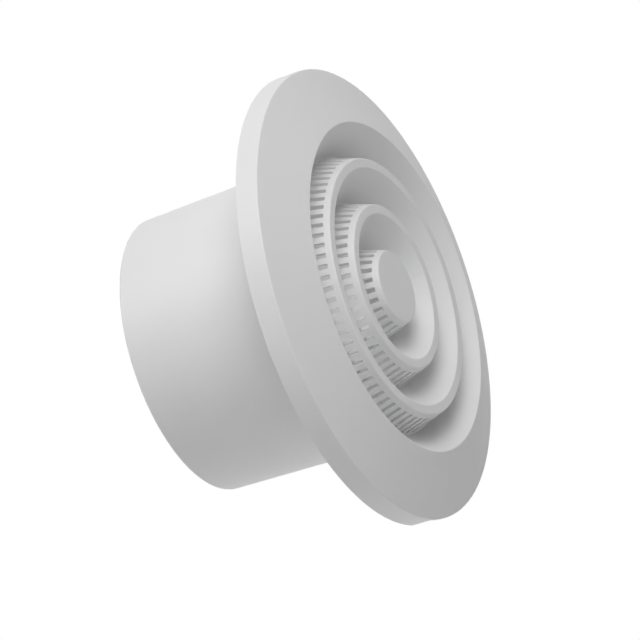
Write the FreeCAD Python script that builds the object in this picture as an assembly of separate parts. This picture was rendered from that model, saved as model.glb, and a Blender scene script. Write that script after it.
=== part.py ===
import FreeCAD, Part
import math
import os

# Round vent cover for a 100 mm duct, moulded in one piece: a spigot that pushes into the duct,
# a shallow conical flange that lies against the wall, and a grille of concentric rings.
# Each ring is a slotted cone outside and a plain funnel inside, so air turns outwards through
# the slots and leaves by the groove between two rings.
# Millimetres. The axis lies along Y, the face looks towards -Y and +Z is up, as on a wall.
# The origin is on the axis, in the plane where the flange meets the wall.

# Spigot
spigot_radius = 49.7
spigot_end_radius = 48.1
spigot_collar = 12.0
spigot_length = 64.0
spigot_wall = 2.0

# Flange
face_width = 21.2
face_rise = 8.0
skirt_depth = 8.0
flange_wall = 2.2

# Grille
ring_pitch = 16.15
lip_width = 3.3
groove_depth = 11.0
groove_floor = 0.5
wall_spread = 3.3
grille_wall = 1.8
funnel_inset = 0.95
smallest_disc = 8.0

# Slots, from just behind a lip down to the floor of the groove, where the draft makes them wider
slot_width = 1.6
slot_foot_width = 2.0
slot_spacing = 3.88
slot_setback = 2.2
slot_overcut = 0.3

# Notch in the skirt at its lowest point, where water drains and a blade goes in to lift the cover
notch_width = 33.6
notch_roof_width = 31.4
notch_depth = 6.5
notch_reach = 3.0

# Rounded edges
rim_round = 0.6
mouth_round = 0.5
lip_round = 0.6
lip_inner_round = 0.4
spigot_end_round = 0.7

TOLERANCE = 1e-4
FULL_TURN = 360.0
ORIGIN = FreeCAD.Vector(0.0, 0.0, 0.0)
AXIS = FreeCAD.Vector(0.0, 1.0, 0.0)

# Planes along the axis, front to back
face_edge_y = -skirt_depth
front_y = face_edge_y - face_rise
floor_y = front_y + groove_depth

# Radii
funnel_spread = ring_pitch - lip_width - groove_floor - wall_spread
mouth_radius = spigot_radius - funnel_inset + funnel_spread
flange_radius = mouth_radius + face_width
ring_count = int((mouth_radius + lip_width - smallest_disc) / ring_pitch) - 1

# Wall thicknesses as measured across the axis
wall_across = grille_wall * math.hypot(wall_spread, groove_depth) / groove_depth
funnel_across = grille_wall * math.hypot(funnel_spread, groove_depth) / groove_depth


def mouth_of(step):
    """Radius of the groove's outer edge at the front: the flange's mouth, then each ring's inside."""
    return mouth_radius - step * ring_pitch


def top_of(step):
    """Radius at the front of the wall inside the groove: each ring's outside, then the centre disc."""
    return mouth_of(step + 1) + lip_width


def section_face(points):
    """Flat face in the XY plane from (radius, y) corners, given anticlockwise."""
    corners = [FreeCAD.Vector(radius, y, 0.0) for radius, y in points]
    return Part.Face(Part.makePolygon(corners + corners[:1]))


def block(inner, outer, near, far):
    """Rectangle of the section between two radii and two planes."""
    return section_face([(inner, near), (outer, near), (outer, far), (inner, far)])


def wall_section(step):
    """Slotted wall: a cone that widens towards the back."""
    top = top_of(step)
    foot = top + wall_spread
    return section_face([
        (top, front_y), (foot, floor_y), (foot - wall_across, floor_y), (top - wall_across, front_y)])


def funnel_section(step):
    """Plain funnel inside a ring, down to the floor of the next groove."""
    top = mouth_of(step)
    foot = top - funnel_spread
    return section_face([
        (top, front_y), (top + funnel_across, front_y), (foot + funnel_across, floor_y), (foot, floor_y)])


def floor_section(step):
    """Floor of one groove, wide enough to carry the foot of the wall and of the funnel."""
    inner = top_of(step) + wall_spread - wall_across
    outer = mouth_of(step) - funnel_spread + funnel_across
    return block(inner, outer, floor_y, floor_y + grille_wall)


def flange_section():
    """Outer funnel, conical face and skirt, hollow behind."""
    face_slope = face_rise / face_width
    funnel_slope = funnel_spread / groove_depth
    face_across = flange_wall * math.hypot(1.0, face_slope)
    skirt_inner = flange_radius - flange_wall
    funnel_foot = mouth_radius - funnel_spread
    # Behind the mouth the back of the face meets the back of the funnel:
    # depth = face_across + face_slope * out and out = funnel_across - funnel_slope * depth
    behind = (face_across + face_slope * funnel_across) / (1.0 + face_slope * funnel_slope)
    behind_radius = mouth_radius + funnel_across - funnel_slope * behind
    skirt_corner_y = front_y + face_across + face_slope * (skirt_inner - mouth_radius)
    return section_face([
        (mouth_radius, front_y), (flange_radius, face_edge_y), (flange_radius, 0.0),
        (skirt_inner, 0.0), (skirt_inner, skirt_corner_y), (behind_radius, front_y + behind),
        (funnel_foot + funnel_across, floor_y), (funnel_foot, floor_y)])


def spigot_section():
    """Straight collar behind the flange, then a taper that leads into the duct."""
    return section_face([
        (spigot_radius, floor_y), (spigot_radius, spigot_collar), (spigot_end_radius, spigot_length),
        (spigot_end_radius - spigot_wall, spigot_length), (spigot_radius - spigot_wall, spigot_collar),
        (spigot_radius - spigot_wall, floor_y)])


def section_rounds():
    """Corners of the section that are rounded: radius of the round, then the corner's radius and y."""
    rounds = [
        (rim_round, flange_radius, face_edge_y),
        (mouth_round, mouth_radius, front_y),
        (spigot_end_round, spigot_end_radius, spigot_length)]
    for step in range(ring_count + 1):
        rounds.append((lip_round, top_of(step), front_y))
    for step in range(1, ring_count + 1):
        rounds.append((lip_inner_round, mouth_of(step), front_y))
    return rounds


def corner_arc(before, corner, after, radius):
    """Arc that touches both sides of a corner."""
    back = (before - corner).normalize()
    ahead = (after - corner).normalize()
    half = back.getAngle(ahead) / 2
    reach = radius / math.tan(half)
    middle = (back + ahead).normalize() * (radius / math.sin(half) - radius)
    return Part.Arc(corner + back * reach, corner + middle, corner + ahead * reach).toShape()


def rounded(section):
    """The section with an arc at each corner that is handled or seen."""
    corners = [vertex.Point for vertex in section.OuterWire.OrderedVertexes]
    arcs = {}
    for radius, across, y in section_rounds():
        for index, corner in enumerate(corners):
            if math.hypot(corner.x - across, corner.y - y) < TOLERANCE:
                after = corners[(index + 1) % len(corners)]
                arcs[index] = corner_arc(corners[index - 1], corner, after, radius)
    edges = []
    for index, corner in enumerate(corners):
        previous = arcs.get((index - 1) % len(corners))
        arc = arcs.get(index)
        start = previous.lastVertex().Point if previous else corners[index - 1]
        end = arc.firstVertex().Point if arc else corner
        edges.append(Part.LineSegment(start, end).toShape())
        if arc:
            edges.append(arc)
    return Part.Face(Part.Wire(edges))


def moulding():
    """The whole section, turned about the axis."""
    sections = [flange_section(), spigot_section()]
    for step in range(ring_count + 1):
        sections.append(wall_section(step))
        sections.append(floor_section(step))
    for step in range(1, ring_count + 1):
        sections.append(funnel_section(step))
        sections.append(block(mouth_of(step), top_of(step - 1), front_y, front_y + grille_wall))
    sections.append(block(0.0, top_of(ring_count), front_y, front_y + grille_wall))
    section = sections[0].fuse(sections[1:]).removeSplitter()
    return rounded(section.Faces[0]).revolve(ORIGIN, AXIS, FULL_TURN)


def slot_cutters(step):
    """Cutters for one wall's slots: wedges that follow the wall and widen towards its foot."""
    start_radius = top_of(step) + wall_spread * slot_setback / groove_depth
    foot_radius = top_of(step) + wall_spread
    inwards = wall_across + slot_overcut
    start_side = slot_width / 2
    foot_side = slot_foot_width / 2
    blade = Part.makeWedge(
        start_radius - inwards, front_y + slot_setback, -start_side, -foot_side, foot_radius - inwards,
        start_radius + slot_overcut, floor_y, start_side, foot_side, foot_radius + slot_overcut)
    count = round(math.pi * (start_radius + foot_radius) / slot_spacing)
    # The rings have a slot at the top, and the centre disc's wall has a rib there
    first = 0.5 if step == ring_count else 0.0
    cutters = []
    for index in range(count):
        cutter = blade.copy()
        cutter.rotate(ORIGIN, AXIS, (index + first) * FULL_TURN / count - FULL_TURN / 4)
        cutters.append(cutter)
    return cutters


def notch_cutter():
    """Wedge that opens the skirt at its lowest point, wider at the wall than at its roof."""
    side = notch_width / 2
    roof_side = notch_roof_width / 2
    low = -flange_radius - notch_reach
    high = notch_reach - math.sqrt((flange_radius - flange_wall) ** 2 - side ** 2)
    return Part.makeWedge(-roof_side, -notch_depth, low, low, -side, roof_side, 0.0, high, high, side)


def vent_cover():
    cutters = [notch_cutter()]
    for step in range(ring_count + 1):
        cutters.extend(slot_cutters(step))
    return moulding().cut(cutters)


os.makedirs("parts", exist_ok=True)
cover = vent_cover().Solids[0]
cover.exportStep("parts/vent_cover.step")
print("rings", ring_count, "mouth", round(mouth_radius, 3), "flange", round(flange_radius, 3))
print("volume", round(cover.Volume, 1), "valid", cover.isValid())
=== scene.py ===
import math

import bpy
from mathutils import Matrix, Vector

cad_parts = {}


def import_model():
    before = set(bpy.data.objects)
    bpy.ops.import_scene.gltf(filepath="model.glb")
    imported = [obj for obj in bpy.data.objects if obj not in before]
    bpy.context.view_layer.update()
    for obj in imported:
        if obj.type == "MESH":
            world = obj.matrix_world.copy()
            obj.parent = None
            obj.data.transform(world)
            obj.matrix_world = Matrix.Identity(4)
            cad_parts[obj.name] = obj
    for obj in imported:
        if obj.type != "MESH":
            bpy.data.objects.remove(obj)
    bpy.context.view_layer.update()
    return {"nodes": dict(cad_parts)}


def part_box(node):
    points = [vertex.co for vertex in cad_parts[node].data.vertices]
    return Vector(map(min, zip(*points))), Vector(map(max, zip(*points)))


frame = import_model()

# Round vent cover: white satin ABS, one moulding, seen three quarters from the front.
# Metres, in the part's own frame: the axis lies along Y, the face looks towards -Y, +Z is up.

PART = "vent_cover"

# The photograph's camera: nearly level, with a long lens, turned about its own line of sight
PICTURE_WIDTH = 640
FOCAL_LENGTH_PIXELS = 7419
SENSOR_WIDTH_MM = 36.0
CAMERA_AZIMUTH = math.radians(-65.52)
CAMERA_ELEVATION = math.radians(1.5)
CAMERA_ROLL = math.radians(19.03)
# Where the middle of the face lies as the camera sees it: to the right, up, and away from the lens
FACE_RIGHT = 0.02587
FACE_UP = 0.01135
FACE_AWAY = 2.4903

# White plastic: faint mottling that also varies the gloss, and the fine grain of the mould
PLASTIC_COLOUR = (0.89, 0.89, 0.89)
PLASTIC_DARKER = (0.87, 0.87, 0.875)
PLASTIC_ROUGHNESS = (0.40, 0.52)
MOTTLE_SIZE = 0.022
MOTTLE_DETAIL = 3.0
MOTTLE_BREAKUP = 0.5
GRAIN_SIZE = 0.0005
GRAIN_DETAIL = 2.0
GRAIN_BREAKUP = 0.6
GRAIN_HEIGHT = 0.00001

# Studio
WHITE = (1.0, 1.0, 1.0)
AMBIENT = 0.1
FLOOR_DROP = 0.42
FLOOR_RADIUS = 3.2
FLOOR_SIDES = 96
FLOOR_COLOUR = (0.86, 0.86, 0.86)
# Glow of the floor where it is seen directly, under the part and far out, and how far out each applies
FLOOR_LIFT = (0.45, 0.86)
FLOOR_FADE = (0.5, 2.2)
LAMP_SIZE = 0.8
# Place and watts of each lamp: a broad bank above the camera's side, and two low ones that light
# the inside of the spigot and the slots from behind
LAMPS = {
    "key": ((-1.10, -0.81, 0.83), 5.4),
    "front": ((-0.55, -0.75, 1.30), 6.7),
    "top": ((-0.72, -0.28, 1.40), 5.1),
    "side": ((-0.83, 0.68, 1.19), 4.2),
    "behind": ((0.79, 1.37, -0.24), 6.9),
    "low": ((-0.18, 1.55, -0.35), 4.6)}


def camera():
    """The photograph's camera."""
    level = math.cos(CAMERA_ELEVATION)
    back = Vector((
        math.sin(CAMERA_AZIMUTH) * level, -math.cos(CAMERA_AZIMUTH) * level, math.sin(CAMERA_ELEVATION)))
    level_right = Vector((math.cos(CAMERA_AZIMUTH), math.sin(CAMERA_AZIMUTH), 0.0))
    level_up = back.cross(level_right)
    right = level_right * math.cos(CAMERA_ROLL) - level_up * math.sin(CAMERA_ROLL)
    up = level_right * math.sin(CAMERA_ROLL) + level_up * math.cos(CAMERA_ROLL)
    face = Vector((0.0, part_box(PART)[0].y, 0.0))
    data = bpy.data.cameras.new("camera")
    data.sensor_width = SENSOR_WIDTH_MM
    data.lens = SENSOR_WIDTH_MM * FOCAL_LENGTH_PIXELS / PICTURE_WIDTH
    eye = bpy.data.objects.new("camera", data)
    bpy.context.scene.collection.objects.link(eye)
    place = face - right * FACE_RIGHT - up * FACE_UP + back * FACE_AWAY
    eye.matrix_world = Matrix.Translation(place) @ Matrix((right, up, back)).transposed().to_4x4()
    bpy.context.scene.camera = eye


def opaque(colour):
    """A colour with full alpha, as the sockets take it."""
    return (*colour, 1.0)


def node(tree, kind, **inputs):
    """A shader node with its unlinked inputs set by name."""
    made = tree.nodes.new(kind)
    for name, value in inputs.items():
        made.inputs[name.replace("_", " ")].default_value = value
    return made


def joined(tree, operation, first, second):
    """What a Math node makes of two outputs."""
    made = tree.nodes.new("ShaderNodeMath")
    made.operation = operation
    tree.links.new(first, made.inputs[0])
    tree.links.new(second, made.inputs[1])
    return made.outputs[0]


def plastic_material():
    """Satin white plastic: faint mottling, uneven gloss and the fine grain of a spark-eroded mould."""
    material = bpy.data.materials.new("white_plastic")
    material.use_nodes = True
    tree = material.node_tree
    shader = tree.nodes["Principled BSDF"]
    place = node(tree, "ShaderNodeTexCoord")

    mottle = node(
        tree, "ShaderNodeTexNoise", Scale=1.0 / MOTTLE_SIZE, Detail=MOTTLE_DETAIL, Roughness=MOTTLE_BREAKUP)
    tree.links.new(place.outputs["Object"], mottle.inputs["Vector"])
    tint = tree.nodes.new("ShaderNodeMix")
    tint.data_type = "RGBA"
    tint.inputs["A"].default_value = opaque(PLASTIC_DARKER)
    tint.inputs["B"].default_value = opaque(PLASTIC_COLOUR)
    tree.links.new(mottle.outputs["Fac"], tint.inputs["Factor"])
    tree.links.new(tint.outputs["Result"], shader.inputs["Base Color"])

    gloss = node(tree, "ShaderNodeMapRange", To_Min=PLASTIC_ROUGHNESS[0], To_Max=PLASTIC_ROUGHNESS[1])
    tree.links.new(mottle.outputs["Fac"], gloss.inputs["Value"])
    tree.links.new(gloss.outputs["Result"], shader.inputs["Roughness"])

    grain = node(
        tree, "ShaderNodeTexNoise", Scale=1.0 / GRAIN_SIZE, Detail=GRAIN_DETAIL, Roughness=GRAIN_BREAKUP)
    tree.links.new(place.outputs["Object"], grain.inputs["Vector"])
    bump = node(tree, "ShaderNodeBump", Strength=1.0, Distance=GRAIN_HEIGHT)
    tree.links.new(grain.outputs["Fac"], bump.inputs["Height"])
    tree.links.new(bump.outputs["Normal"], shader.inputs["Normal"])
    return material


def seen_directly(tree):
    """Output that is 1 where the camera, a reflection or glass looks straight at the surface, and else 0."""
    path = tree.nodes.new("ShaderNodeLightPath")
    seen = joined(tree, "MAXIMUM", path.outputs["Is Camera Ray"], path.outputs["Is Glossy Ray"])
    return joined(tree, "MAXIMUM", seen, path.outputs["Is Transmission Ray"])


def floor_material():
    """Pale paint that keeps the part's shadow, with a glow that lifts it to white far out."""
    material = bpy.data.materials.new("floor")
    material.use_nodes = True
    tree = material.node_tree
    tree.nodes.clear()
    place = node(tree, "ShaderNodeTexCoord")
    away = tree.nodes.new("ShaderNodeVectorMath")
    away.operation = "LENGTH"
    tree.links.new(place.outputs["Object"], away.inputs[0])
    fade = node(
        tree, "ShaderNodeMapRange", From_Min=FLOOR_FADE[0], From_Max=FLOOR_FADE[1],
        To_Min=FLOOR_LIFT[0], To_Max=FLOOR_LIFT[1])
    tree.links.new(away.outputs["Value"], fade.inputs["Value"])
    glow = node(tree, "ShaderNodeEmission", Color=opaque(WHITE))
    lift = joined(tree, "MULTIPLY", seen_directly(tree), fade.outputs["Result"])
    tree.links.new(lift, glow.inputs["Strength"])

    paint = node(tree, "ShaderNodeBsdfDiffuse", Color=opaque(FLOOR_COLOUR))
    both = tree.nodes.new("ShaderNodeAddShader")
    tree.links.new(paint.outputs[0], both.inputs[0])
    tree.links.new(glow.outputs[0], both.inputs[1])
    out = tree.nodes.new("ShaderNodeOutputMaterial")
    tree.links.new(both.outputs[0], out.inputs["Surface"])
    return material


def floor():
    """Floor well below the part, because nothing in the photograph touches it."""
    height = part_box(PART)[0].z - FLOOR_DROP
    bpy.ops.mesh.primitive_circle_add(
        vertices=FLOOR_SIDES, radius=FLOOR_RADIUS, fill_type="NGON", location=(0.0, 0.0, height))
    ground = bpy.context.object
    ground.name = "floor"
    ground.data.materials.append(floor_material())


def world():
    """Faint even light from all round, and a white background where it is seen directly."""
    sky = bpy.data.worlds.new("studio")
    bpy.context.scene.world = sky
    sky.use_nodes = True
    tree = sky.node_tree
    tree.nodes.clear()
    ambient = node(tree, "ShaderNodeBackground", Color=opaque(WHITE), Strength=AMBIENT)
    white = node(tree, "ShaderNodeBackground", Color=opaque(WHITE), Strength=1.0)
    choice = tree.nodes.new("ShaderNodeMixShader")
    tree.links.new(seen_directly(tree), choice.inputs[0])
    tree.links.new(ambient.outputs[0], choice.inputs[1])
    tree.links.new(white.outputs[0], choice.inputs[2])
    out = tree.nodes.new("ShaderNodeOutputWorld")
    tree.links.new(choice.outputs[0], out.inputs["Surface"])


def softbox(name, place, watts):
    """A square lamp that looks at the part."""
    data = bpy.data.lights.new(name, "AREA")
    data.shape = "SQUARE"
    data.size = LAMP_SIZE
    data.energy = watts
    lamp = bpy.data.objects.new(name, data)
    bpy.context.scene.collection.objects.link(lamp)
    lamp.location = place
    lamp.rotation_mode = "QUATERNION"
    lamp.rotation_quaternion = (-Vector(place)).to_track_quat("-Z", "Y")


plastic = plastic_material()
for slot in frame["nodes"][PART].material_slots:
    slot.material = plastic

camera()
floor()
world()
for name, (place, watts) in LAMPS.items():
    softbox(name, place, watts)

bpy.context.scene.view_settings.view_transform = "Standard"
